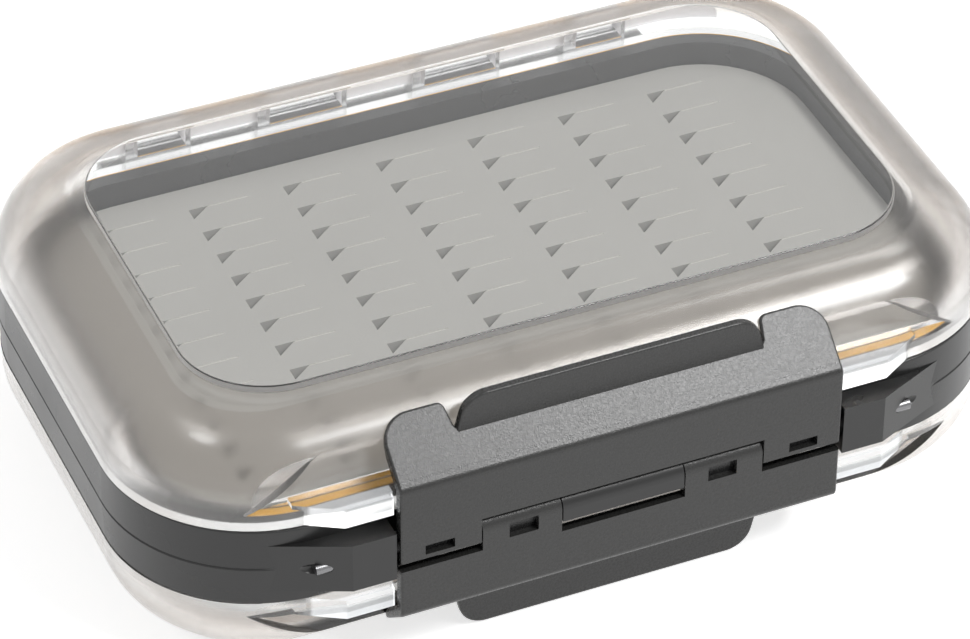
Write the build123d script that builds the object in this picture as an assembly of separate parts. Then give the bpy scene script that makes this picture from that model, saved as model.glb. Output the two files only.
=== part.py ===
"""Double-sided fly box: a black two-compartment frame between two clear domed lids.

X runs along the box, the latches are on the -Y side, the hinges on the +Y side, Z is up.
The box is alike above and below its middle plane. Each upper piece is modelled above
that plane, at Z = 0, and its lower twin is the mirror image. The finished pieces are then
lifted by half the box's height, so that the origin is the bottom centre of the closed box.
"""
from build123d import *
import math
import os

os.makedirs("parts", exist_ok=True)

# Frame: the black band that both lids close against
FRAME_LENGTH = 150.0
FRAME_WIDTH = 97.6
FRAME_CORNER = 26.0
BAND_HEIGHT = 7.2  # from the middle plane to the ledge that the lid meets
BAND_DRAFT = 2.0  # degrees
BAND_ROUND = 0.3
FLOOR = 0.6  # half of the partition between the two compartments
TRAY_WALL = 2.5  # between the seal's groove and the tray
SEAM_BEVEL = 0.25
CORE_WALL = 1.8  # wall left round the cored ends of the frame
CORE_DEPTH = 5.2
CORE_REACH = 34.0  # half the width, in Y, of the cored part of each end

# Lid: a clear dome with a raised window
LID_SETBACK_X = 0.2
LID_SETBACK_Y = 0.75
LID_CORNER = 25.0
LID_WALL = 2.2  # of the ceiling, and round the scoop
SIDE_WALL = 3.6  # at the lid's foot, over the seal
LID_GAP = 0.15  # between the lid's edge and the frame's ledge
DOME_RADIUS = 12.4
HOLLOW_RADIUS = 9.5  # of the dome's inside
SHOULDER_HEIGHT = 22.2
WINDOW_LENGTH = 121.2
WINDOW_WIDTH = 68.8
WINDOW_CORNER = 14.5
WINDOW_RAISE = 1.2
WINDOW_ROUND = 0.4

# Seal: a soft ring in a groove under the lid's foot
SEAL_WIDTH = 1.7
SEAL_HEIGHT = 1.0
SEAL_SINK = 0.9  # how far the ring sits below the ledge
SEAL_INSET = 1.9  # from the lid's outline
SEAL_ROUND = 0.35

# Foam: a slab with rows of cuts, each with a three-cornered hole at its left end
FOAM_THICKNESS = 2.4
FOAM_MARGIN = 0.3
CUT_COLUMNS = 7
CUT_ROWS = 12
CUT_PITCH_X = 16.65
CUT_PITCH_Y = 6.46
CUT_LENGTH = 10.5
HOLE_LENGTH = 3.4
HOLE_WIDTH = 2.6

# Latches: two levers that turn on one line of pins
PIN_RADIUS = 0.95
PIN_PLAY = 0.06
LATCH_OUTSET = 1.5  # of the latches' pin line, in front of the frame's side
KNUCKLE_RADIUS = 2.4
KNUCKLE_PLAY = 0.1  # at each side of a knuckle
LATCH_WIDTH = 74.8
LATCH_WALL = 1.7
OUTER_KNUCKLE = 23.9  # where the upper latch's knuckles begin, from the middle
INNER_KNUCKLE = 10.4  # where the lower latch's knuckles begin
HEEL_DROP = 1.75  # the upper knuckles' square heel, below the axis
BAR_DROP = 2.2  # the frame's square bar, below the axis
UPPER_EDGE = 2.95  # lower edge of the upper latch between its knuckles
LOWER_EDGE = 3.4  # the lower latch's edge beside the other latch's knuckles
MIDDLE_EDGE = 4.1  # the lower latch's edge beside the frame's bar
BEND_HEIGHT = 12.5
BEND_ROUND = 1.5
SLOPE_ANGLE = 40.5  # degrees from the horizontal
SLOPE_FOOT = 2.0  # where the flat slope begins, past the bend
SLOPE_LENGTH = 6.8  # from the bend to the fin
EAR_LENGTH = 12.1  # up the slope from the bend
EAR_WIDTH = 11.45  # at the notch's foot
EAR_FLARE = 0.8  # of the ear's inner side, away from the notch
EAR_ROUND = 4.8
EAR_TIP_ROUND = 1.3
EAR_GAP = 0.2  # between the ears and the lid's dome
NOTCH_ROUND = 0.9
FIN_HEIGHT = 23.2
FIN_WALL = 1.5
FIN_LEAN = 1.5
FIN_ROUND = 4.5
HOOK_GAP = 0.25
HOOK_REACH = 2.8  # inward from the axis
HOOK_INSET = 3.4  # from each end of the latch
LEVER_ROUND = 0.4
PORT_DEPTH = 1.2
PORT_WIDTH = 4.9
OUTER_PORT_AT = 30.9
OUTER_PORT_TOP = 0.8
OUTER_PORT_HEIGHT = 1.8
INNER_PORT_AT = 16.9
INNER_PORT_TOP = 0.5
INNER_PORT_HEIGHT = 2.8

# Recess in the frame for the latches, and the blocks that hold their pins
RECESS_PLAY = 0.6  # between the latch's end and the block
RECESS_GAP = 1.1  # between the knuckles and the frame's wall behind them
BLOCK_FACE = 7.2  # length of each block's flat front, along X
BLOCK_CHAMFER_X = 13.6  # the slant runs on into the band's rounded corner
BLOCK_CHAMFER_Y = 5.9
BLOCK_HEIGHT = 4.5
BLOCK_FRONT = 2.2  # in front of the pin line
PIN_REACH = 13.2  # past the latch's end, into the block
PIN_SEAT = 6.0  # how deep the pins go into the frame's bar

# Ledge on the lid that the latch hooks over, and the scoop behind it
LEDGE_TOP = 11.0
LEDGE_SETBACK = 0.3  # of the ledge's front, behind the pin line
LEDGE_GAP = 0.5  # between the latch's ends and the clear blocks
LEDGE_FACE = 7.9
LEDGE_FRONT = 0.9  # of the clear blocks, in front of the pin line
LEDGE_CHAMFER_X = 7.0
LEDGE_CHAMFER_Y = 4.1
SCOOP_DEPTH = 2.9  # into the lid's front
SCOOP_TOP = 17.9
SCOOP_FOOT = 10.2
SCOOP_REACH = 10.6  # of the scoop's top, past the latch's end
SCOOP_RUN = 1.55  # sideways for each unit down
SCOOP_ROUND = 6.0

# Hinges: one line of pins for each lid
HINGE_OUTSET = 1.5  # of the hinges' pin lines, behind the frame's side
HINGE_AXIS_Z = 4.2
INNER_LUG = (6.0, 22.0)  # from the middle, alike on both sides
OUTER_LUG = (41.1, 29.6)  # from the frame's end
LUG_PLAY = 0.2
LUG_TOP = 15.5
LUG_ROOM = 0.3
POCKET_WALL = 1.5
POCKET_FOOT = 9.4
POCKET_TOP = 13.5
HINGE_INSET = 25.7  # of the hinge pins' outer ends from the frame's end
HINGE_MIDDLE = 2.0  # half the gap between the left and right pins

# Worked out from the sizes above
LID_LENGTH = FRAME_LENGTH - 2 * LID_SETBACK_X
LID_WIDTH = FRAME_WIDTH - 2 * LID_SETBACK_Y
LID_FOOT = BAND_HEIGHT + LID_GAP
CROWN_HEIGHT = SHOULDER_HEIGHT + WINDOW_RAISE
LATCH_AXIS_Y = -FRAME_WIDTH / 2 - LATCH_OUTSET
HINGE_AXIS_Y = FRAME_WIDTH / 2 + HINGE_OUTSET
LATCH_FRONT = LATCH_AXIS_Y - KNUCKLE_RADIUS
LATCH_HALF = LATCH_WIDTH / 2
NOTCH_HALF = LATCH_HALF - EAR_WIDTH
PIN_END = LATCH_HALF + PIN_REACH
HINGE_END = FRAME_LENGTH / 2 - HINGE_INSET
LUG_SPANS = (INNER_LUG, tuple(FRAME_LENGTH / 2 - inset for inset in OUTER_LUG))
RISE = math.radians(SLOPE_ANGLE)
BORE_RADIUS = PIN_RADIUS + PIN_PLAY
RECESS_WIDTH = LATCH_WIDTH + 2 * RECESS_PLAY
RECESS_BACK = LATCH_AXIS_Y + KNUCKLE_RADIUS + RECESS_GAP
SCOOP_BACK = SCOOP_DEPTH - LID_WIDTH / 2
FOAM_TOP = FLOOR + FOAM_THICKNESS
SEAL_FOOT = BAND_HEIGHT - SEAL_SINK
INSET_RIM = SEAL_INSET + SEAL_WIDTH
INSET_TRAY = INSET_RIM + TRAY_WALL
INSET_FOAM = INSET_TRAY + FOAM_MARGIN
HALF_HEIGHT = CROWN_HEIGHT
FAR = 200.0  # longer than the box, for cuts that run right through


def lid_outline(inset=0.0):
    """The lid's outline, drawn in on every side by the inset."""
    return RectangleRounded(LID_LENGTH - 2 * inset, LID_WIDTH - 2 * inset, LID_CORNER - inset)


def slab(outline, low, high):
    """An outline made solid between two heights."""
    return Pos(0, 0, low) * extrude(outline, high - low)


def block(x, y, z):
    """A box from three pairs of limits."""
    size = [high - low for low, high in (x, y, z)]
    middle = [(high + low) / 2 for low, high in (x, y, z)]
    return Pos(*middle) * Box(*size)


def across(outline, low, high):
    """A cross-section drawn in Y and Z made solid from one X to another."""
    return extrude(Plane((low, 0, 0), (0, 1, 0), (1, 0, 0)) * outline, high - low)


def area(y, z):
    """A rectangle of a cross-section, from its limits in Y and Z."""
    return Pos((y[0] + y[1]) / 2, (z[0] + z[1]) / 2) * Rectangle(y[1] - y[0], z[1] - z[0])


def disc(y, z):
    """The round of a knuckle in a cross-section."""
    return Pos(y, z) * Circle(KNUCKLE_RADIUS)


def rod(radius, low, high, y, z):
    """A cylinder along X."""
    return Pos((low + high) / 2, y, z) * Rot(0, 90, 0) * Cylinder(radius, high - low)


def both_sides(piece):
    """A piece and its twin on the other side of the box's middle."""
    return [piece, mirror(piece, Plane.YZ)]


def lower(piece):
    """The mirror twin of an upper piece."""
    return mirror(piece, Plane.XY)


# Frame


def front_block():
    """The right-hand block that holds the end of a latch pin, cut off at a slant."""
    near = RECESS_WIDTH / 2
    face = near + BLOCK_FACE
    front = LATCH_AXIS_Y - BLOCK_FRONT
    slant = (face + BLOCK_CHAMFER_X, front + BLOCK_CHAMFER_Y)
    points = [(near, RECESS_BACK), (near, front), (face, front), slant]
    return slab(make_face(Polyline(*points, close=True)), 0, BLOCK_HEIGHT)


def latch_bar():
    """The frame's knuckle between the two latches' knuckles."""
    outline = disc(LATCH_AXIS_Y, 0)
    outline += area((LATCH_FRONT, LATCH_AXIS_Y), (-BAR_DROP, 0))
    outline += area((LATCH_AXIS_Y, RECESS_BACK), (-BAR_DROP, KNUCKLE_RADIUS))
    outline += area((RECESS_BACK, RECESS_BACK + TRAY_WALL), (0, KNUCKLE_RADIUS))
    return across(outline, KNUCKLE_PLAY - INNER_KNUCKLE, INNER_KNUCKLE - KNUCKLE_PLAY)


def hinge_knuckles():
    """The frame's knuckles between and beside the lid's lugs."""
    edges = [0.0]
    for low, high in LUG_SPANS:
        edges += [low - LUG_PLAY, high + LUG_PLAY]
    edges.append(HINGE_END)
    reach = (FRAME_WIDTH / 2 - CORE_WALL, HINGE_AXIS_Y)
    outline = disc(HINGE_AXIS_Y, HINGE_AXIS_Z)
    outline += area(reach, (HINGE_AXIS_Z - KNUCKLE_RADIUS, HINGE_AXIS_Z + KNUCKLE_RADIUS))
    knuckles = [across(outline, -edges[1], edges[1])]
    for low, high in zip(edges[2::2], edges[3::2]):
        knuckles += both_sides(across(outline, low, high))
    return knuckles


def lug_notches():
    """Room in the frame's back for the lid's lugs."""
    front = HINGE_AXIS_Y - KNUCKLE_RADIUS - LUG_ROOM
    foot = HINGE_AXIS_Z - KNUCKLE_RADIUS - LUG_ROOM
    notches = []
    for low, high in LUG_SPANS:
        span = (low - LUG_PLAY, high + LUG_PLAY)
        notches += both_sides(block(span, (front, FAR), (foot, FAR)))
    return notches


def frame_half(with_bar):
    """One tray of the frame, with its band, seal groove, blocks and knuckles."""
    outline = RectangleRounded(FRAME_LENGTH, FRAME_WIDTH, FRAME_CORNER)
    band = extrude(outline, BAND_HEIGHT, taper=BAND_DRAFT)
    band = chamfer(band.faces().sort_by(Axis.Z)[0].edges(), SEAM_BEVEL)
    band = fillet(band.faces().sort_by(Axis.Z)[-1].edges(), BAND_ROUND)
    groove = slab(lid_outline(SEAL_INSET) - lid_outline(INSET_RIM), SEAL_FOOT, FAR)
    recess = block((-RECESS_WIDTH / 2, RECESS_WIDTH / 2), (-FAR, RECESS_BACK), (-FAR, FAR))
    cored = slab(lid_outline(CORE_WALL) - lid_outline(INSET_TRAY - CORE_WALL), 0, CORE_DEPTH)
    cored &= block((-FAR, FAR), (-CORE_REACH, CORE_REACH), (0, FAR))
    half = band - [groove, recess, cored, slab(lid_outline(INSET_TRAY), FLOOR, FAR)]
    half -= lug_notches()
    half += both_sides(front_block())
    half += hinge_knuckles()
    if with_bar:
        half += latch_bar()
    half -= rod(BORE_RADIUS, -FAR, -INNER_KNUCKLE + PIN_SEAT, LATCH_AXIS_Y, 0)
    half -= rod(BORE_RADIUS, INNER_KNUCKLE - PIN_SEAT, FAR, LATCH_AXIS_Y, 0)
    half -= both_sides(rod(BORE_RADIUS, HINGE_MIDDLE, FAR, HINGE_AXIS_Y, HINGE_AXIS_Z))
    return half


def latch_pin():
    """The right-hand latch pin, from its block through both latches into the bar."""
    return rod(PIN_RADIUS, INNER_KNUCKLE - PIN_SEAT, PIN_END, LATCH_AXIS_Y, 0)


def hinge_pin():
    """The right-hand hinge pin of the upper lid."""
    return rod(PIN_RADIUS, HINGE_MIDDLE, HINGE_END, HINGE_AXIS_Y, HINGE_AXIS_Z)


def seal():
    """The ring in the groove round the tray."""
    ring = slab(lid_outline(SEAL_INSET) - lid_outline(INSET_RIM), SEAL_FOOT, SEAL_FOOT + SEAL_HEIGHT)
    return fillet(ring.faces().sort_by(Axis.Z)[-1].outer_wire().edges(), SEAL_ROUND)


def foam():
    """The slab of foam, with the hole at the left end of each cut."""
    pad = slab(lid_outline(INSET_FOAM), FLOOR, FOAM_TOP)
    hole = Polyline((0, 0), (HOLE_LENGTH, 0), (0, -HOLE_WIDTH), close=True)
    left = -((CUT_COLUMNS - 1) * CUT_PITCH_X + CUT_LENGTH) / 2
    back = (CUT_ROWS - 1) * CUT_PITCH_Y / 2
    places = [
        (left + column * CUT_PITCH_X, back - row * CUT_PITCH_Y)
        for column in range(CUT_COLUMNS)
        for row in range(CUT_ROWS)
    ]
    holes = Sketch() + [Pos(x, y) * make_face(hole) for x, y in places]
    return pad - slab(holes, FLOOR, FOAM_TOP)


# Lid


def dome(inset, top, radius):
    """A rounded body over the lid's outline, drawn in by the inset."""
    body = slab(lid_outline(inset), LID_FOOT, top)
    return fillet(body.faces().sort_by(Axis.Z)[-1].edges(), radius)


def window():
    """The raised window on top of the dome, over a flat ceiling."""
    outline = RectangleRounded(WINDOW_LENGTH, WINDOW_WIDTH, WINDOW_CORNER)
    pane = slab(outline, LID_FOOT, CROWN_HEIGHT)
    return fillet(pane.faces().sort_by(Axis.Z)[-1].edges(), WINDOW_ROUND)


def scoop(grow):
    """The space behind the latch, with slanted ends; grown, it is the wall left round it."""
    top = SCOOP_TOP + grow
    half_top = LATCH_HALF + SCOOP_REACH + grow / math.sqrt(1 + SCOOP_RUN**2)
    half_foot = half_top + (top - SCOOP_FOOT) * SCOOP_RUN
    points = [(-half_foot, SCOOP_FOOT), (half_foot, SCOOP_FOOT), (half_top, top), (-half_top, top)]
    outline = make_face(Polyline(*points, close=True))
    outline = fillet(outline.vertices().group_by(Axis.Y)[-1], SCOOP_ROUND + grow)
    space = Plane((0, SCOOP_BACK + grow, 0), (1, 0, 0), (0, -1, 0)) * outline
    return extrude(space, FAR)


def ledge():
    """The lid's front ledge, set back behind the latch, with a clear block at each end."""
    near = LATCH_HALF + LEDGE_GAP
    face = near + LEDGE_FACE
    far = face + LEDGE_CHAMFER_X
    middle = LATCH_AXIS_Y + LEDGE_SETBACK
    front = LATCH_AXIS_Y - LEDGE_FRONT
    slant = front + LEDGE_CHAMFER_Y
    right = [(near, middle), (near, front), (face, front), (far, slant), (far, SCOOP_BACK)]
    left = [(-x, y) for x, y in reversed(right)]
    return slab(make_face(Polyline(*right, *left, close=True)), LID_FOOT, LEDGE_TOP)


def lug_back():
    """The two ends, as (y, z), of a lug's sloping back: on the lid and on the round knuckle."""
    wall = LID_WIDTH / 2 - LID_WALL / 2
    rise = LUG_TOP - HINGE_AXIS_Z
    run = wall - HINGE_AXIS_Y
    slant = math.atan2(rise, run) - math.acos(KNUCKLE_RADIUS / math.hypot(rise, run))
    back = HINGE_AXIS_Y + KNUCKLE_RADIUS * math.cos(slant)
    heel = HINGE_AXIS_Z + KNUCKLE_RADIUS * math.sin(slant)
    return (wall, LUG_TOP), (back, heel)


def hinge_lugs():
    """The clear lugs that hang from the lid's back and turn on the hinge pins."""
    top, heel = lug_back()
    front = HINGE_AXIS_Y - KNUCKLE_RADIUS
    points = [top, heel, (HINGE_AXIS_Y, HINGE_AXIS_Z)]
    points += [(front, HINGE_AXIS_Z), (front, LID_FOOT), (top[0], LID_FOOT)]
    outline = make_face(Polyline(*points, close=True)) + disc(HINGE_AXIS_Y, HINGE_AXIS_Z)
    lugs = []
    for low, high in LUG_SPANS:
        lugs += both_sides(across(outline, low, high))
    return lugs


def lug_pockets():
    """The square pockets that core out the lugs from inside the lid."""
    near = LID_WIDTH / 2 - DOME_RADIUS
    top, heel = lug_back()
    lean = (heel[0] - top[0]) / (top[1] - heel[1])
    far = [top[0] - POCKET_WALL + lean * (LUG_TOP - z) for z in (POCKET_FOOT, POCKET_TOP)]
    points = [(near, POCKET_FOOT), (far[0], POCKET_FOOT), (far[1], POCKET_TOP), (near, POCKET_TOP)]
    outline = make_face(Polyline(*points, close=True))
    pockets = []
    for low, high in LUG_SPANS:
        pockets += both_sides(across(outline, low + POCKET_WALL, high - POCKET_WALL))
    return pockets


def lid():
    """The clear lid: a dome scooped out behind the latch, with its ledge and hinge lugs."""
    shell = dome(0, SHOULDER_HEIGHT, DOME_RADIUS) + window() - scoop(0) + ledge()
    shell += hinge_lugs()
    shell -= dome(SIDE_WALL, SHOULDER_HEIGHT - LID_WALL, HOLLOW_RADIUS) - scoop(LID_WALL)
    shell -= lug_pockets()
    return shell - rod(BORE_RADIUS, -FAR, FAR, HINGE_AXIS_Y, HINGE_AXIS_Z)


# Latches


def lever():
    """What the two latches share: front wall, slope, ears, fin and hook."""
    inside = LATCH_FRONT + LATCH_WALL
    crook = BEND_HEIGHT - LATCH_WALL * math.tan((math.pi / 2 - RISE) / 2)
    points = [(LATCH_FRONT, MIDDLE_EDGE), (LATCH_FRONT, BEND_HEIGHT), up_slope(SLOPE_FOOT)]
    points += [up_slope(SLOPE_FOOT, LATCH_WALL), (inside, crook), (inside, MIDDLE_EDGE)]
    outline = make_face(Polyline(*points, close=True))
    bend = outline.vertices().sort_by_distance((LATCH_FRONT, BEND_HEIGHT))[0]
    wall = across(fillet(bend, BEND_ROUND), -LATCH_HALF, LATCH_HALF)
    return blunt(wall) + ears() + fin() + hook()


def up_slope(run, depth=0.0):
    """A point (y, z) of the slope, from the bend's corner, and a depth under its face."""
    y = LATCH_FRONT + run * math.cos(RISE) + depth * math.sin(RISE)
    return y, BEND_HEIGHT + run * math.sin(RISE) - depth * math.cos(RISE)


def blunt(piece):
    """Round a lever's outer edge where the piece reaches the latch's end."""
    ends = []
    for edge in piece.edges():
        place = edge.center()
        front = place.Y - LATCH_FRONT
        depth = front * math.sin(RISE) - (place.Z - BEND_HEIGHT) * math.cos(RISE)
        if abs(abs(place.X) - LATCH_HALF) < 0.01 and min(front, depth) < LATCH_WALL / 4:
            ends.append(edge)
    return fillet(ends, LEVER_ROUND)


def rounded(outline, *corners):
    """An outline with some corners, each (x, y, radius), rounded alike on both sides."""
    for x, y, radius in corners:
        found = [v for v in outline.vertices() if abs(abs(v.X) - x) + abs(v.Y - y) < 0.01]
        outline = fillet(found, radius)
    return outline


def ears():
    """The slope with its two ears, which go on past the fin and thin out over the dome."""
    inner = NOTCH_HALF + EAR_FLARE
    tuck = SLOPE_LENGTH + FIN_WALL / 2
    right = [(LATCH_HALF, SLOPE_FOOT), (LATCH_HALF, EAR_LENGTH)]
    right += [(inner, EAR_LENGTH), (NOTCH_HALF, tuck)]
    left = [(-x, y) for x, y in reversed(right)]
    outline = rounded(
        make_face(Polyline(*right, *left, close=True)),
        (LATCH_HALF, EAR_LENGTH, EAR_ROUND),
        (inner, EAR_LENGTH, EAR_TIP_ROUND),
        (NOTCH_HALF, tuck, NOTCH_ROUND),
    )
    outward = (0, -math.sin(RISE), math.cos(RISE))
    slope = Plane((0, LATCH_FRONT, BEND_HEIGHT), (1, 0, 0), outward)
    plate = extrude(slope * outline, -LATCH_WALL)
    face = plate.faces().sort_by(Axis((0, 0, 0), outward))[-1]
    plate = fillet([edge for edge in face.edges() if abs(edge.center().X) > EAR_WIDTH], LEVER_ROUND)
    dome_y = DOME_RADIUS - LID_WIDTH / 2
    dome_z = SHOULDER_HEIGHT - DOME_RADIUS
    return plate - rod(DOME_RADIUS + EAR_GAP, -FAR, FAR, dome_y, dome_z)


def fin():
    """The upright finger tab that rises from the notch between the ears."""
    front, root = up_slope(SLOPE_LENGTH)
    low = up_slope(SLOPE_LENGTH, LATCH_WALL)[1]
    crown = NOTCH_HALF - FIN_LEAN
    right = [(NOTCH_HALF, low), (NOTCH_HALF, root), (crown, FIN_HEIGHT)]
    left = [(-x, y) for x, y in reversed(right)]
    outline = rounded(make_face(Polyline(*right, *left, close=True)), (crown, FIN_HEIGHT, FIN_ROUND))
    tab = extrude(Plane((0, front, 0), (1, 0, 0), (0, -1, 0)) * outline, -FIN_WALL)
    faces = tab.faces().sort_by(Axis.Y)
    rim = faces[0].edges() + faces[-1].edges()
    return fillet([edge for edge in rim if edge.center().Z > root], LEVER_ROUND)


def hook():
    """The rib that catches over the lid's ledge."""
    low = LEDGE_TOP + HOOK_GAP
    back = LATCH_AXIS_Y + HOOK_REACH
    root = LATCH_FRONT + LATCH_WALL / 2
    high = low + (back - root) * math.tan(RISE)
    outline = make_face(Polyline((root, low), (back, low), (back, high), close=True))
    return across(outline, HOOK_INSET - LATCH_HALF, LATCH_HALF - HOOK_INSET)


def wall_section(edge):
    """The cross-section of the lever's front wall, carried down to an edge."""
    return area((LATCH_FRONT, LATCH_FRONT + LATCH_WALL), (edge, MIDDLE_EDGE))


def knuckle_section(heel):
    """The cross-section of a knuckle with its wall, square below the axis by the heel."""
    outline = disc(LATCH_AXIS_Y, 0) + wall_section(0)
    return outline + area((LATCH_FRONT, LATCH_AXIS_Y), (-heel, UPPER_EDGE))


def port(middle, top, height):
    """The small square opening in the front of a knuckle."""
    span = (middle - PORT_WIDTH / 2, middle + PORT_WIDTH / 2)
    return block(span, (LATCH_FRONT, LATCH_FRONT + PORT_DEPTH), (top - height, top))


def latch_upper():
    """The upper latch, whose square-heeled knuckles are at its ends."""
    step = OUTER_KNUCKLE + KNUCKLE_PLAY
    piece = lever() + across(wall_section(UPPER_EDGE), -step, step)
    piece += both_sides(blunt(across(knuckle_section(HEEL_DROP), step, LATCH_HALF)))
    piece -= both_sides(port(OUTER_PORT_AT, OUTER_PORT_TOP, OUTER_PORT_HEIGHT))
    return piece - rod(BORE_RADIUS, -FAR, FAR, LATCH_AXIS_Y, 0)


def latch_lower():
    """The lower latch as it would lie above the middle plane, with its knuckles further in."""
    near = INNER_KNUCKLE + KNUCKLE_PLAY
    far = OUTER_KNUCKLE - KNUCKLE_PLAY
    piece = lever()
    piece += both_sides(blunt(across(wall_section(LOWER_EDGE), far, LATCH_HALF)))
    piece += both_sides(across(knuckle_section(0), near, far))
    piece -= both_sides(port(INNER_PORT_AT, INNER_PORT_HEIGHT - INNER_PORT_TOP, INNER_PORT_HEIGHT))
    return piece - rod(BORE_RADIUS, -FAR, FAR, LATCH_AXIS_Y, 0)


def write(name, piece):
    """Lift a piece so that the closed box stands on Z = 0, and write it."""
    export_step(Pos(0, 0, HALF_HEIGHT) * piece, f"parts/{name}.step")


def main():
    """Build every piece once and write it, with its twins."""
    write("frame_upper_half", frame_half(with_bar=True))
    write("frame_lower_half", lower(frame_half(with_bar=False)))
    write("seal_upper", seal())
    write("seal_lower", lower(seal()))
    write("foam_upper", foam())
    write("foam_lower", lower(foam()))
    write("lid_upper", lid())
    write("lid_lower", lower(lid()))
    write("latch_upper", latch_upper())
    write("latch_lower", lower(latch_lower()))
    write("latch_pin_right", latch_pin())
    write("latch_pin_left", mirror(latch_pin(), Plane.YZ))
    write("hinge_pin_upper_right", hinge_pin())
    write("hinge_pin_upper_left", mirror(hinge_pin(), Plane.YZ))
    write("hinge_pin_lower_right", lower(hinge_pin()))
    write("hinge_pin_lower_left", lower(mirror(hinge_pin(), Plane.YZ)))


if __name__ == "__main__":
    main()
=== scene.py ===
"""Fly box: finishes, foam pads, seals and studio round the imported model.

X runs along the box, the latches are on the -Y side, the hinges on the +Y side, Z is up.
Lengths are in metres.
"""
import math

import bmesh
import bpy
from mathutils import Euler, Matrix, Vector


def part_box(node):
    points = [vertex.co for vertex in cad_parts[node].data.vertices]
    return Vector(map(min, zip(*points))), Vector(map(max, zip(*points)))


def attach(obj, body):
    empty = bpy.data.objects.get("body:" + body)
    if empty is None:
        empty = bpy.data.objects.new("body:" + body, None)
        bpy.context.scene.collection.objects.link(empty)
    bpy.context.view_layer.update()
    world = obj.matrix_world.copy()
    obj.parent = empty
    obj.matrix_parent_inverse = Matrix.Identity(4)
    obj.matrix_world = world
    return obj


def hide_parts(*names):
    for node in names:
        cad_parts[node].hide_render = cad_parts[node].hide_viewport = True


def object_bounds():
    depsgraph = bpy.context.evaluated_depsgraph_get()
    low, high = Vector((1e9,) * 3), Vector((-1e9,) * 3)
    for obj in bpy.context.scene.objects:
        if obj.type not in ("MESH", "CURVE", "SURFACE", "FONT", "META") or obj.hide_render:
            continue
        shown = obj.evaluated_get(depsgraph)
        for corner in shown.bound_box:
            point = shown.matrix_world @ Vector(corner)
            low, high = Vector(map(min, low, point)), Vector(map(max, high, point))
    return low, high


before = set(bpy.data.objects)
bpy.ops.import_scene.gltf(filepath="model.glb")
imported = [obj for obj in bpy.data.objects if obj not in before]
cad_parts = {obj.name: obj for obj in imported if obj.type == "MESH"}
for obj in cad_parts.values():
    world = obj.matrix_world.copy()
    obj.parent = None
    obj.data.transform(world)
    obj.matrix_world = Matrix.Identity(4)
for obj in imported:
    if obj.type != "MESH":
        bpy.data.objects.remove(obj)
CAD_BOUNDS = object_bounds()

bl_info = {
    "name": "Fly Box",
    "version": (1, 0, 0),
    "blender": (4, 5, 0),
    "location": "View3D > Sidebar > Fly Box",
    "description": "Clear lids, black frame, slit foam and latches of a double-sided fly box",
    "category": "Object",
}

MM = 0.001
SIDES = ("upper", "lower")
MIDDLE = (CAD_BOUNDS[0].z + CAD_BOUNDS[1].z) / 2
SHARP = math.radians(35)  # edges that turn more than this stay crisp
FLOOR_GAP = 0.02 * MM  # between the box and the floor

# Where the lids' finish changes. Heights are from the box's middle plane, up or down.
CEILING = (19.95 * MM, 20.05 * MM)  # the flat inside of the window
CROWN = (23.25 * MM, 23.35 * MM)  # up to the window's flat top
WINDOW_EDGE = (22.26 * MM, 23.2 * MM)  # the upright edge of the raised window
POCKET = (9.5 * MM, 13.4 * MM)  # the square hollows in the hinge lugs
POCKET_FRONT = (44.6 * MM, 44.8 * MM)  # along Y, where those hollows begin
# The dome's darker tint is partly the thicker wall and partly painted shade.
FOOT = (9.5 * MM, 13.0 * MM)  # from the clear foot to the tinted dome
BLOCK_END = (37.5 * MM, 37.7 * MM)  # along X, past the latches' ends
BLOCK_BACK = (-48.6 * MM, -48.2 * MM)  # along Y, in front of the lid's side
LEVEL = (0.95, 0.995)  # how straight up or down a polished face looks
TURNED_BACK = (0.4, 0.5)  # how far along Y a face looks that is no longer a pocket's

# The floors of the latches' ports, along Y, where shade is painted
PORT_FLOOR = (-51.6 * MM, -51.4 * MM)

# The lamps: name, place, size in metres and watts
LAMPS = (
    ("key", (0.48, -0.56, 0.94), (0.42, 0.32), 7.5),
    ("back", (0.55, 0.3, 1.0), (0.3, 0.2), 1.0),
    ("side", (-0.52, -0.06, 0.95), (0.24, 0.16), 1.2),
)


# Settings


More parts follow.
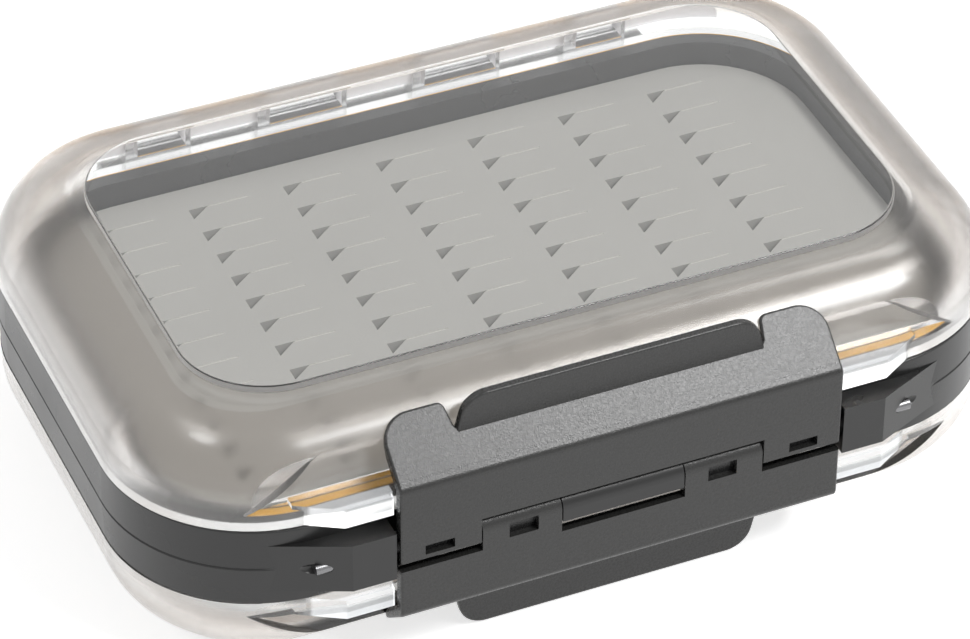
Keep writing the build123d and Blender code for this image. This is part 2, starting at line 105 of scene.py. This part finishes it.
class FlyBoxFinish(bpy.types.PropertyGroup):
    """Colours and finishes of the box's plastics, foam, seals and pins."""

    clear: bpy.props.FloatVectorProperty(
        name="Clear plastic", description="Tint of the lids", subtype="COLOR",
        size=3, min=0, max=1, default=(0.985, 0.99, 0.988))
    clear_ior: bpy.props.FloatProperty(
        name="Clear plastic's bend", description="Index of refraction of the lids",
        min=1, max=2, default=1.58)
    # Painted shade, in part: this darker brownish tint darkens the foam and frame seen through the
    # rounded part, beyond what the thicker wall absorbs.
    dome: bpy.props.FloatVectorProperty(
        name="Dome", description="Tint of the lids' rounded part", subtype="COLOR",
        size=3, min=0, max=1, default=(0.74, 0.70, 0.665))
    dome_haze: bpy.props.FloatProperty(
        name="Dome haze", description="Roughness of the lids' rounded part",
        min=0, max=1, default=0.2)
    foot_haze: bpy.props.FloatProperty(
        name="Foot haze", description="Roughness of the lids near the frame",
        min=0, max=1, default=0.2)
    edge_haze: bpy.props.FloatProperty(
        name="Edge haze", description="Roughness of the window's edge and of the lugs' pockets",
        min=0, max=1, default=0.6)
    # Painted glow: the window's edge gets emission that lightens it, not light from any lamp.
    painted_edge_glow: bpy.props.FloatVectorProperty(
        name="Edge light", description="Light that the window's edge catches", subtype="COLOR",
        size=3, min=0, max=1, default=(0.19, 0.185, 0.18))
    # Painted glow: the clear blocks beside the latches get emission that lightens them.
    painted_block_glow: bpy.props.FloatVectorProperty(
        name="Block light", description="Light that the clear blocks beside the latches catch",
        subtype="COLOR", size=3, min=0, max=1, default=(0.33, 0.34, 0.35))
    # Painted shade: this grey tint darkens the hollows inside the hinges' lugs.
    pocket: bpy.props.FloatVectorProperty(
        name="Pockets", description="Tint inside the hinges' lugs", subtype="COLOR",
        size=3, min=0, max=1, default=(0.42, 0.41, 0.43))
    black: bpy.props.FloatVectorProperty(
        name="Black plastic", description="Colour of the frame", subtype="COLOR",
        size=3, min=0, max=1, default=(0.012, 0.012, 0.012))
    latch: bpy.props.FloatVectorProperty(
        name="Latch plastic", description="Colour of both latches", subtype="COLOR",
        size=3, min=0, max=1, default=(0.024, 0.024, 0.023))
    seal: bpy.props.FloatVectorProperty(
        name="Seal", description="Colour of the sealing rings", subtype="COLOR",
        size=3, min=0, max=1, default=(0.66, 0.33, 0.008))
    foam: bpy.props.FloatVectorProperty(
        name="Foam", description="Colour of the foam pads", subtype="COLOR",
        size=3, min=0, max=1, default=(0.42, 0.41, 0.385))
    steel: bpy.props.FloatVectorProperty(
        name="Steel", description="Colour of the pins", subtype="COLOR",
        size=3, min=0, max=1, default=(0.2, 0.2, 0.205))


class FlyBoxFoam(bpy.types.PropertyGroup):
    """Sizes of the foam pads' cuts."""

    columns: bpy.props.IntProperty(
        name="Columns", description="Cuts side by side along the box", min=1, default=7)
    rows: bpy.props.IntProperty(
        name="Rows", description="Cuts from front to back", min=1, default=12)
    pitch_x: bpy.props.FloatProperty(
        name="Column pitch", description="From one column to the next",
        unit="LENGTH", default=16.65 * MM)
    pitch_y: bpy.props.FloatProperty(
        name="Row pitch", description="From one row to the next",
        unit="LENGTH", default=6.46 * MM)
    cut: bpy.props.FloatProperty(
        name="Cut", description="Length of each cut", unit="LENGTH", default=10.5 * MM)
    slit: bpy.props.FloatProperty(
        name="Slit", description="Width of each cut's mouth", unit="LENGTH", default=0.25 * MM)
    slit_depth: bpy.props.FloatProperty(
        name="Slit depth", description="Depth of each cut's mouth", unit="LENGTH",
        default=0.12 * MM)
    hole_x: bpy.props.FloatProperty(
        name="Hole length", description="Of the three-cornered hole, along the cut",
        unit="LENGTH", default=3.4 * MM)
    hole_y: bpy.props.FloatProperty(
        name="Hole width", description="Of the three-cornered hole, across the cut",
        unit="LENGTH", default=2.6 * MM)
    corner: bpy.props.FloatProperty(
        name="Corner", description="Radius of the pad's corners", unit="LENGTH",
        default=18.6 * MM)
    edge: bpy.props.FloatProperty(
        name="Edge", description="Rounding of the pad's top edge", unit="LENGTH",
        default=0.35 * MM)


class FlyBoxSeal(bpy.types.PropertyGroup):
    """Sizes of the sealing rings."""

    width: bpy.props.FloatProperty(
        name="Width", description="Of the ring's section, across", unit="LENGTH",
        default=1.7 * MM)
    corner: bpy.props.FloatProperty(
        name="Corner", description="Radius of the ring's outer corners", unit="LENGTH",
        default=23.1 * MM)
    rounding: bpy.props.FloatProperty(
        name="Rounding", description="Of the ring's section", unit="LENGTH",
        default=0.35 * MM)


class FlyBoxStudio(bpy.types.PropertyGroup):
    """The camera, the light from all round and the floor."""

    azimuth: bpy.props.FloatProperty(
        name="Azimuth", description="Where the camera stands round the box",
        unit="ROTATION", default=math.radians(-23.69))
    elevation: bpy.props.FloatProperty(
        name="Elevation", description="How far the camera looks down",
        unit="ROTATION", default=math.radians(38.0))
    roll: bpy.props.FloatProperty(
        name="Roll", description="Turn of the picture", unit="ROTATION",
        default=math.radians(0.365))
    place: bpy.props.FloatVectorProperty(
        name="Place", description="Where the camera is, from the box's middle",
        unit="LENGTH", size=3, default=(-0.24432, -0.55717, 0.47978))
    lens: bpy.props.FloatProperty(
        name="Lens", description="Focal length in millimetres", default=176.78)
    shift_x: bpy.props.FloatProperty(
        name="Shift across", description="Of the picture, as a share of its width",
        default=-0.0048)
    shift_y: bpy.props.FloatProperty(
        name="Shift up", description="Of the picture, as a share of its width",
        default=-0.0426)
    world: bpy.props.FloatProperty(
        name="World light", description="Strength of the light from all round",
        min=0, default=0.3)
    floor: bpy.props.FloatVectorProperty(
        name="Floor", description="Colour of the floor", subtype="COLOR",
        size=3, min=0, max=1, default=(0.9, 0.9, 0.9))
    glow: bpy.props.FloatProperty(
        name="Floor's glow", description="Added where the floor is looked at",
        min=0, max=1, default=0.7)


def finish():
    """The finishes in use."""
    return bpy.context.scene.fly_box_finish


# Shared meshes


def outline_corners(half_x, half_y, radius, steps):
    """Points of a rounded rectangle, as (x, y), anticlockwise from the +X side."""
    points = []
    for quarter in range(4):
        turn = quarter * math.pi / 2
        sign_x = 1 if quarter in (0, 3) else -1
        sign_y = 1 if quarter in (0, 1) else -1
        for step in range(steps + 1):
            angle = turn + step * math.pi / 2 / steps
            x = sign_x * (half_x - radius) + radius * math.cos(angle)
            y = sign_y * (half_y - radius) + radius * math.sin(angle)
            points.append((x, y))
    return points


def outline_face(bm, points, z):
    """One flat face through the points at a height."""
    return bm.faces.new([bm.verts.new((x, y, z)) for x, y in points])


def raise_faces(bm, faces, height):
    """Extrude faces straight up, and return the new top ones."""
    made = bmesh.ops.extrude_face_region(bm, geom=faces)["geom"]
    verts = [g for g in made if isinstance(g, bmesh.types.BMVert)]
    bmesh.ops.translate(bm, vec=(0, 0, height), verts=verts)
    return [g for g in made if isinstance(g, bmesh.types.BMFace)]


def round_edges(bm, edges, radius, segments):
    """Round edges of a bmesh off."""
    bmesh.ops.bevel(
        bm, geom=edges, offset=radius, segments=segments, profile=0.5, affect="EDGES", material=-1)


def new_piece(name, bm, *materials):
    """Close a bmesh into an object in the scene, with its finishes and smooth shading."""
    bmesh.ops.recalc_face_normals(bm, faces=bm.faces)
    mesh = bpy.data.meshes.new(name)
    bm.to_mesh(mesh)
    bm.free()
    for material in materials:
        mesh.materials.append(material)
    mesh.shade_smooth()
    mesh.set_sharp_from_angle(angle=SHARP)
    piece = bpy.data.objects.new(name, mesh)
    bpy.context.scene.collection.objects.link(piece)
    return piece


def cut_with(piece, cutter):
    """Cut one mesh out of a piece for good, and remove the cutter."""
    modifier = piece.modifiers.new("cut", "BOOLEAN")
    modifier.operation = "DIFFERENCE"
    modifier.solver = "EXACT"
    modifier.object = cutter
    graph = bpy.context.evaluated_depsgraph_get()
    cut = bpy.data.meshes.new_from_object(piece.evaluated_get(graph))
    piece.modifiers.clear()
    old = piece.data
    piece.data = cut
    bpy.data.meshes.remove(old)
    bpy.data.objects.remove(cutter)


def turned_over(piece):
    """Mirror a piece's mesh about the box's middle plane."""
    bm = bmesh.new()
    bm.from_mesh(piece.data)
    flip = Matrix.Translation((0, 0, MIDDLE)) @ Matrix.Scale(-1, 4, (0, 0, 1))
    flip = flip @ Matrix.Translation((0, 0, -MIDDLE))
    bmesh.ops.transform(bm, matrix=flip, verts=bm.verts)
    bmesh.ops.reverse_faces(bm, faces=bm.faces)
    bm.to_mesh(piece.data)
    bm.free()


# Shared shader groups and steps


def group_sockets(name, inputs, outputs):
    """An empty shader group with its named sockets, each input with its default."""
    group = bpy.data.node_groups.new(name, "ShaderNodeTree")
    for label, kind, default in inputs:
        socket = group.interface.new_socket(label, in_out="INPUT", socket_type=kind)
        socket.default_value = default
    for label, kind in outputs:
        group.interface.new_socket(label, in_out="OUTPUT", socket_type=kind)
    return group, group.nodes.new("NodeGroupInput"), group.nodes.new("NodeGroupOutput")


def mould_grain():
    """Fine moulded grain: a height for bumps and a mask for roughness."""
    if "Mould grain" in bpy.data.node_groups:
        return bpy.data.node_groups["Mould grain"]
    inputs = [("Scale", "NodeSocketFloat", 2500.0), ("Mottle", "NodeSocketFloat", 60.0)]
    outputs = [("Height", "NodeSocketFloat"), ("Mask", "NodeSocketFloat")]
    group, source, sink = group_sockets("Mould grain", inputs, outputs)
    place = group.nodes.new("ShaderNodeTexCoord")
    fine = group.nodes.new("ShaderNodeTexNoise")
    fine.inputs["Detail"].default_value = 3.0
    broad = group.nodes.new("ShaderNodeTexNoise")
    broad.inputs["Detail"].default_value = 5.0
    links = group.links
    for noise, label in ((fine, "Scale"), (broad, "Mottle")):
        links.new(place.outputs["Object"], noise.inputs["Vector"])
        links.new(source.outputs[label], noise.inputs["Scale"])
    links.new(fine.outputs["Fac"], sink.inputs["Height"])
    links.new(broad.outputs["Fac"], sink.inputs["Mask"])
    return group


def new_material(name):
    """A new material, its node tree and its shader."""
    material = bpy.data.materials.new(name)
    material.use_nodes = True
    return material, material.node_tree, material.node_tree.nodes["Principled BSDF"]


def add_group(tree, group, **values):
    """Place a shader group in a material, with its own values."""
    node = tree.nodes.new("ShaderNodeGroup")
    node.node_tree = group
    for label, value in values.items():
        node.inputs[label].default_value = value
    return node


def ranged(tree, value, low, high):
    """Spread a 0.3 to 0.7 noise value over a range."""
    node = tree.nodes.new("ShaderNodeMapRange")
    node.inputs["From Min"].default_value = 0.3
    node.inputs["From Max"].default_value = 0.7
    node.inputs["To Min"].default_value = low
    node.inputs["To Max"].default_value = high
    tree.links.new(value, node.inputs["Value"])
    return node.outputs["Result"]


def stepped(tree, value, limits, start=0.0, end=1.0):
    """Ease from one number to another as a value passes between two limits."""
    node = tree.nodes.new("ShaderNodeMapRange")
    node.interpolation_type = "SMOOTHSTEP"
    for label, number in zip(("From Min", "From Max", "To Min", "To Max"), (*limits, start, end)):
        node.inputs[label].default_value = number
    tree.links.new(value, node.inputs["Value"])
    return node.outputs["Result"]


def joined(tree, operation, *values):
    """One or two values taken through one step of arithmetic."""
    node = tree.nodes.new("ShaderNodeMath")
    node.operation = operation
    for socket, value in zip(node.inputs, values):
        if isinstance(value, float):
            socket.default_value = value
        else:
            tree.links.new(value, socket)
    return node.outputs["Value"]


def product(tree, first, *others):
    """Values multiplied, or a mask of where several masks hold together."""
    for value in others:
        first = joined(tree, "MULTIPLY", first, value)
    return first


def split(tree, vector):
    """The X, Y and Z of a vector."""
    axes = tree.nodes.new("ShaderNodeSeparateXYZ")
    tree.links.new(vector, axes.inputs["Vector"])
    return axes.outputs["X"], axes.outputs["Y"], axes.outputs["Z"]


def position(tree):
    """The X, Y and Z of the place on the piece."""
    return split(tree, tree.nodes.new("ShaderNodeTexCoord").outputs["Object"])


def between(tree, value, limits, edge):
    """A mask that is 1 between two limits and fades out over the edge beyond them."""
    low, high = limits
    rise = stepped(tree, value, (low - edge, low))
    return product(tree, rise, stepped(tree, value, (high, high + edge), 1.0, 0.0))


def looked_at(tree):
    """A mask of the rays that show a thing: straight, mirrored or through clear plastic."""
    path = tree.nodes.new("ShaderNodeLightPath")
    seen = joined(tree, "MAXIMUM", path.outputs["Is Camera Ray"], path.outputs["Is Glossy Ray"])
    return joined(tree, "MAXIMUM", seen, path.outputs["Is Transmission Ray"])


def blended(tree, mask, first, second):
    """Two colours, or a colour and a socket, mixed by a mask."""
    mix = tree.nodes.new("ShaderNodeMix")
    mix.data_type = "RGBA"
    for label, colour in (("A", first), ("B", second)):
        if isinstance(colour, bpy.types.NodeSocket):
            tree.links.new(colour, mix.inputs[label])
        else:
            mix.inputs[label].default_value = (*colour, 1)
    tree.links.new(mask, mix.inputs["Factor"])
    return mix.outputs["Result"]


def shaded(tree, shader, mask, dark, light):
    """Vary the base colour between two tones by a mask."""
    tree.links.new(blended(tree, mask, dark, light), shader.inputs["Base Color"])


def bumped(tree, shader, height, distance):
    """Feed a height to the shader's normal."""
    bump = tree.nodes.new("ShaderNodeBump")
    bump.inputs["Distance"].default_value = distance
    bump.inputs["Strength"].default_value = 1.0
    tree.links.new(height, bump.inputs["Height"])
    tree.links.new(bump.outputs["Normal"], shader.inputs["Normal"])


def tone(colour, factor):
    """A colour made lighter or darker."""
    return tuple(min(1.0, c * factor) for c in colour)


# Finishes


def lets_light_through(tree, shader):
    """Let lamps and soft light pass a clear shader straight, so that what is behind it is lit."""
    nodes = tree.nodes
    path = nodes.new("ShaderNodeLightPath")
    straight = nodes.new("ShaderNodeBsdfTransparent")
    result = shader.outputs["BSDF"]
    for label in ("Is Shadow Ray", "Is Diffuse Ray"):
        mix = nodes.new("ShaderNodeMixShader")
        tree.links.new(path.outputs[label], mix.inputs["Fac"])
        tree.links.new(result, mix.inputs[1])
        tree.links.new(straight.outputs["BSDF"], mix.inputs[2])
        result = mix.outputs["Shader"]
    tree.links.new(result, nodes["Material Output"].inputs["Surface"])


def lid_masks(tree):
    """The height off the middle plane, and masks of a lid's polish, edges, pockets and blocks."""
    across, along, up = position(tree)
    surface = tree.nodes.new("ShaderNodeNewGeometry")
    _, facing_back, facing_up = split(tree, surface.outputs["Normal"])
    height = joined(tree, "ABSOLUTE", joined(tree, "SUBTRACT", up, MIDDLE))
    level = stepped(tree, joined(tree, "ABSOLUTE", facing_up), LEVEL)
    ceiling = between(tree, height, CEILING, edge=0.05 * MM)
    flat = joined(tree, "ADD", ceiling, stepped(tree, height, CROWN))
    edge = between(tree, height, WINDOW_EDGE, edge=0.04 * MM)
    behind = stepped(tree, along, POCKET_FRONT)
    inside = stepped(tree, facing_back, TURNED_BACK, 1.0, 0.0)
    pocket = product(tree, behind, inside, between(tree, height, POCKET, edge=0.1 * MM))
    beside = stepped(tree, joined(tree, "ABSOLUTE", across), BLOCK_END)
    block = product(tree, beside, stepped(tree, along, BLOCK_BACK, 1.0, 0.0))
    return height, product(tree, flat, level), edge, pocket, block


def clear_plastic():
    """Clear plastic of the lids: clear feet, soft domes and polished windows. The domes' darker
    tint is partly painted shade, the lugs' pockets get painted shade, and the window's edge and
    the blocks beside the latches get a painted glow.
    """
    material, tree, shader = new_material("Clear plastic")
    height, polished, edge, pocket, block = lid_masks(tree)
    unpolished = joined(tree, "SUBTRACT", 1.0, polished)
    haze = stepped(tree, height, FOOT, finish().foot_haze, finish().dome_haze)
    for mask in (edge, pocket):
        haze = joined(tree, "MAXIMUM", haze, product(tree, mask, finish().edge_haze))
    tree.links.new(product(tree, haze, unpolished), shader.inputs["Roughness"])
    # Painted shade, in part: the rounded part takes the darker dome tint.
    dome = product(tree, stepped(tree, height, FOOT), unpolished)
    tint = blended(tree, dome, finish().clear, finish().dome)
    # The lugs' pockets take the grey tint: painted shade in the hollows.
    tree.links.new(blended(tree, pocket, tint, finish().pocket), shader.inputs["Base Color"])
    # Painted glow: emission lightens the window's edge and the blocks beside the latches.
    light = blended(tree, edge, (0, 0, 0), finish().painted_edge_glow)
    light = blended(tree, block, light, finish().painted_block_glow)
    tree.links.new(light, shader.inputs["Emission Color"])
    shader.inputs["Emission Strength"].default_value = 1.0
    shader.inputs["Transmission Weight"].default_value = 1.0
    shader.inputs["IOR"].default_value = finish().clear_ior
    lets_light_through(tree, shader)
    return material


def black_plastic():
    """Semi-gloss black plastic of the frame."""
    material, tree, shader = new_material("Black plastic")
    grain = add_group(tree, mould_grain(), Scale=900.0, Mottle=45.0)
    colour = finish().black
    shaded(tree, shader, grain.outputs["Mask"], tone(colour, 0.8), tone(colour, 1.25))
    tree.links.new(ranged(tree, grain.outputs["Mask"], 0.24, 0.34), shader.inputs["Roughness"])
    bumped(tree, shader, grain.outputs["Height"], 0.004 * MM)
    return material


def latch_plastic():
    """Matt fine-grained plastic of the latches, with painted shade on the floors of their ports.
    """
    material, tree, shader = new_material("Latch plastic")
    grain = add_group(tree, mould_grain(), Scale=4200.0, Mottle=2400.0)
    colour = finish().latch
    grained = blended(tree, grain.outputs["Mask"], tone(colour, 0.85), tone(colour, 1.15))
    _, along, _ = position(tree)
    painted_port_shade = between(tree, along, PORT_FLOOR, edge=0.02 * MM)
    # The ports' floors get a near-black colour: painted shade in the recesses.
    shaded(tree, shader, painted_port_shade, grained, tone(finish().black, 0.3))
    tree.links.new(ranged(tree, grain.outputs["Mask"], 0.23, 0.33), shader.inputs["Roughness"])
    bumped(tree, shader, grain.outputs["Height"], 0.03 * MM)
    return material


def seal_rubber():
    """Soft yellow rubber of the seals."""
    material, tree, shader = new_material("Seal rubber")
    grain = add_group(tree, mould_grain(), Scale=700.0, Mottle=90.0)
    colour = finish().seal
    shaded(tree, shader, grain.outputs["Mask"], tone(colour, 0.9), tone(colour, 1.1))
    shader.inputs["Roughness"].default_value = 0.45
    bumped(tree, shader, grain.outputs["Height"], 0.01 * MM)
    return material


def foam_material(name, lightness):
    """Closed-cell foam, grey and matt, lighter or darker by a factor; the lighter one on the slits
    is a painted highlight.
    """
    material, tree, shader = new_material(name)
    grain = add_group(tree, mould_grain(), Scale=2200.0, Mottle=35.0)
    colour = tone(finish().foam, lightness)
    shaded(tree, shader, grain.outputs["Mask"], tone(colour, 0.94), tone(colour, 1.06))
    shader.inputs["Roughness"].default_value = 0.9
    bumped(tree, shader, grain.outputs["Height"], 0.03 * MM)
    return material


def pin_steel():
    """Drawn steel wire of the pins."""
    material, tree, shader = new_material("Pin steel")
    grain = add_group(tree, mould_grain(), Scale=1200.0, Mottle=200.0)
    shader.inputs["Metallic"].default_value = 1.0
    colour = finish().steel
    shaded(tree, shader, grain.outputs["Mask"], tone(colour, 0.9), tone(colour, 1.1))
    tree.links.new(ranged(tree, grain.outputs["Mask"], 0.22, 0.34), shader.inputs["Roughness"])
    return material


def dress(nodes, material):
    """Give CAD nodes a finish."""
    for name in nodes:
        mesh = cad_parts[name].data
        mesh.materials.clear()
        mesh.materials.append(material)


# Foam and seals


def foam_cutters(foam, low, high):
    """Two meshes to cut a pad with: its three-cornered holes, and its slits' shallow mouths."""
    holes = bmesh.new()
    slits = bmesh.new()
    left = -((foam.columns - 1) * foam.pitch_x + foam.cut) / 2
    back = (foam.rows - 1) * foam.pitch_y / 2
    over = 0.5 * MM  # how far the cutters stand past the pad
    reach = 0.93 * foam.hole_x  # each slit starts inside the hole's thin end
    for column in range(foam.columns):
        for row in range(foam.rows):
            x = left + column * foam.pitch_x
            y = back - row * foam.pitch_y
            hole = [(x, y), (x, y - foam.hole_y), (x + foam.hole_x, y)]
            face = outline_face(holes, hole, high + over)
            raise_faces(holes, [face], low - high - 2 * over)
            near, far, low_y = x + reach, x + foam.cut, y - foam.slit
            slit = [(near, low_y), (far, low_y), (far, y), (near, y)]
            face = outline_face(slits, slit, high + over)
            raise_faces(slits, [face], -over - foam.slit_depth)
    # The slits' mouths take the second, lighter foam: a painted highlight where their edges catch
    # light.
    for face in slits.faces:
        face.material_index = 1
    return new_piece("holes", holes, None), new_piece("slits", slits, None, None)


def foam_pad(side, material, slit_highlight_material):
    """One pad of foam with its holes and slits, in place of the plain one."""
    foam = bpy.context.scene.fly_box_foam
    low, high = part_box("foam_upper")
    bm = bmesh.new()
    face = outline_face(bm, outline_corners(high.x, high.y, foam.corner, 12), low.z)
    top = raise_faces(bm, [face], high.z - low.z)
    round_edges(bm, [e for f in top for e in f.edges], foam.edge, 3)
    piece = new_piece(f"foam_pad_{side}", bm, material, slit_highlight_material)
    for cutter in foam_cutters(foam, low.z, high.z):
        cut_with(piece, cutter)
    piece.data.set_sharp_from_angle(angle=SHARP)
    if side == "lower":
        turned_over(piece)
    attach(piece, "frame")
    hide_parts(f"foam_{side}")


def seal_ring(side, material):
    """One sealing ring with a rounded section, in place of the plain one."""
    seal = bpy.context.scene.fly_box_seal
    low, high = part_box("seal_upper")
    bm = bmesh.new()
    outer = outline_corners(high.x, high.y, seal.corner, 16)
    half_x, half_y, corner = (size - seal.width for size in (high.x, high.y, seal.corner))
    inner = outline_corners(half_x, half_y, corner, 16)
    loops = []
    for points in (outer, inner):
        verts = [bm.verts.new((x, y, low.z)) for x, y in points]
        loops += [bm.edges.new((a, b)) for a, b in zip(verts, verts[1:] + verts[:1])]
    band = bmesh.ops.bridge_loops(bm, edges=loops)["faces"]
    top = raise_faces(bm, band, high.z - low.z)
    rim = [e for f in top for e in f.edges if sum(g in top for g in e.link_faces) == 1]
    round_edges(bm, rim, seal.rounding, 4)
    piece = new_piece(f"seal_ring_{side}", bm, material)
    if side == "lower":
        turned_over(piece)
    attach(piece, "frame")
    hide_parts(f"seal_{side}")


# Studio


def soft_lamp(name, place, size, power):
    """A rectangular lamp aimed at the box's middle."""
    light = bpy.data.lights.new(name, "AREA")
    light.shape = "RECTANGLE"
    light.size, light.size_y = size
    light.energy = power
    lamp = bpy.data.objects.new(name, light)
    lamp.location = place
    aim = Vector((0, 0, MIDDLE)) - Vector(place)
    lamp.rotation_euler = aim.to_track_quat("-Z", "Y").to_euler()
    bpy.context.scene.collection.objects.link(lamp)


def studio_world(strength):
    """A white world that lights softly and is seen as plain white."""
    world = bpy.data.worlds.new("Studio")
    bpy.context.scene.world = world
    world.use_nodes = True
    tree = world.node_tree
    back = tree.nodes["Background"]
    back.inputs["Color"].default_value = (1, 1, 1, 1)
    light = stepped(tree, looked_at(tree), (0.0, 1.0), strength, 1.0)
    tree.links.new(light, back.inputs["Strength"])


def studio_floor(colour, glow):
    """A wide floor that keeps the box's soft shadow, and is seen as plain white round it."""
    bm = bmesh.new()
    bmesh.ops.create_grid(bm, x_segments=1, y_segments=1, size=3.0)
    bmesh.ops.translate(bm, vec=(0, 0, CAD_BOUNDS[0].z - FLOOR_GAP), verts=bm.verts)
    material, tree, shader = new_material("Floor")
    shader.inputs["Base Color"].default_value = (*colour, 1)
    shader.inputs["Roughness"].default_value = 0.9
    shader.inputs["Specular IOR Level"].default_value = 0.0
    light = blended(tree, looked_at(tree), (0, 0, 0), (glow, glow, glow))
    tree.links.new(light, shader.inputs["Emission Color"])
    shader.inputs["Emission Strength"].default_value = 1.0
    new_piece("floor", bm, material)


def studio_camera(studio):
    """The camera at the photograph's viewing angle."""
    data = bpy.data.cameras.new("Camera")
    data.lens = studio.lens
    data.sensor_width = 36.0
    data.shift_x = studio.shift_x
    data.shift_y = studio.shift_y
    data.clip_start = 0.05
    data.clip_end = 20.0
    camera = bpy.data.objects.new("Camera", data)
    camera.location = Vector(studio.place) + Vector((0, 0, MIDDLE))
    turn = Euler((math.pi / 2 - studio.elevation, 0, studio.azimuth)).to_matrix()
    roll = Matrix.Rotation(studio.roll, 3, "Z")
    camera.rotation_euler = (turn @ roll).to_euler()
    bpy.context.scene.collection.objects.link(camera)
    bpy.context.scene.camera = camera


# Operators


class FLYBOX_OT_lids(bpy.types.Operator):
    """Give both lids their clear plastic"""

    bl_idname = "flybox.lids"
    bl_label = "Lids"

    def execute(self, context):
        dress([f"lid_{side}" for side in SIDES], clear_plastic())
        return {"FINISHED"}


class FLYBOX_OT_frame(bpy.types.Operator):
    """Give the frame's halves their black plastic"""

    bl_idname = "flybox.frame"
    bl_label = "Frame"

    def execute(self, context):
        dress([f"frame_{side}_half" for side in SIDES], black_plastic())
        return {"FINISHED"}


class FLYBOX_OT_latches(bpy.types.Operator):
    """Give both latches their matt plastic"""

    bl_idname = "flybox.latches"
    bl_label = "Latches"

    def execute(self, context):
        dress([f"latch_{side}" for side in SIDES], latch_plastic())
        return {"FINISHED"}


class FLYBOX_OT_pins(bpy.types.Operator):
    """Give every pin its steel"""

    bl_idname = "flybox.pins"
    bl_label = "Pins"

    def execute(self, context):
        dress([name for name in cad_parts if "_pin_" in name], pin_steel())
        return {"FINISHED"}


class FLYBOX_OT_seals(bpy.types.Operator):
    """Make both sealing rings"""

    bl_idname = "flybox.seals"
    bl_label = "Seals"

    def execute(self, context):
        material = seal_rubber()
        for side in SIDES:
            seal_ring(side, material)
        return {"FINISHED"}


class FLYBOX_OT_foam(bpy.types.Operator):
    """Make both foam pads with their rows of cuts"""

    bl_idname = "flybox.foam"
    bl_label = "Foam"

    def execute(self, context):
        skin = foam_material("Foam", 1.0)
        # The lighter foam is a painted highlight on the slits' mouths.
        cut = foam_material("Foam slit highlight", 1.5)
        for side in SIDES:
            foam_pad(side, skin, cut)
        return {"FINISHED"}


class FLYBOX_OT_stage(bpy.types.Operator):
    """Set up the camera, the lamps, the world and the floor"""

    bl_idname = "flybox.stage"
    bl_label = "Stage"

    def execute(self, context):
        studio = context.scene.fly_box_studio
        studio_camera(studio)
        studio_world(studio.world)
        studio_floor(studio.floor, studio.glow)
        for lamp in LAMPS:
            soft_lamp(*lamp)
        context.scene.view_settings.view_transform = "Standard"
        return {"FINISHED"}


class FLYBOX_PT_panel(bpy.types.Panel):
    """Buttons for each piece of the fly box"""

    bl_idname = "FLYBOX_PT_panel"
    bl_label = "Fly Box"
    bl_space_type = "VIEW_3D"
    bl_region_type = "UI"
    bl_category = "Fly Box"

    def draw(self, context):
        for operator in OPERATORS:
            self.layout.operator(operator.bl_idname)


GROUPS = {
    "fly_box_finish": FlyBoxFinish,
    "fly_box_foam": FlyBoxFoam,
    "fly_box_seal": FlyBoxSeal,
    "fly_box_studio": FlyBoxStudio,
}
OPERATORS = (
    FLYBOX_OT_lids,
    FLYBOX_OT_frame,
    FLYBOX_OT_latches,
    FLYBOX_OT_pins,
    FLYBOX_OT_seals,
    FLYBOX_OT_foam,
    FLYBOX_OT_stage,
)


def register():
    """Register the settings, the operators and the panel."""
    for name, group in GROUPS.items():
        bpy.utils.register_class(group)
        setattr(bpy.types.Scene, name, bpy.props.PointerProperty(type=group))
    for operator in OPERATORS:
        bpy.utils.register_class(operator)
    bpy.utils.register_class(FLYBOX_PT_panel)


def unregister():
    """Take the panel, the operators and the settings away again."""
    bpy.utils.unregister_class(FLYBOX_PT_panel)
    for operator in reversed(OPERATORS):
        bpy.utils.unregister_class(operator)
    for name, group in GROUPS.items():
        delattr(bpy.types.Scene, name)
        bpy.utils.unregister_class(group)


def main():
    """Make every piece and the stage."""
    register()
    bpy.ops.flybox.lids()
    bpy.ops.flybox.frame()
    bpy.ops.flybox.latches()
    bpy.ops.flybox.pins()
    bpy.ops.flybox.seals()
    bpy.ops.flybox.foam()
    bpy.ops.flybox.stage()


if __name__ == "__main__":
    main()
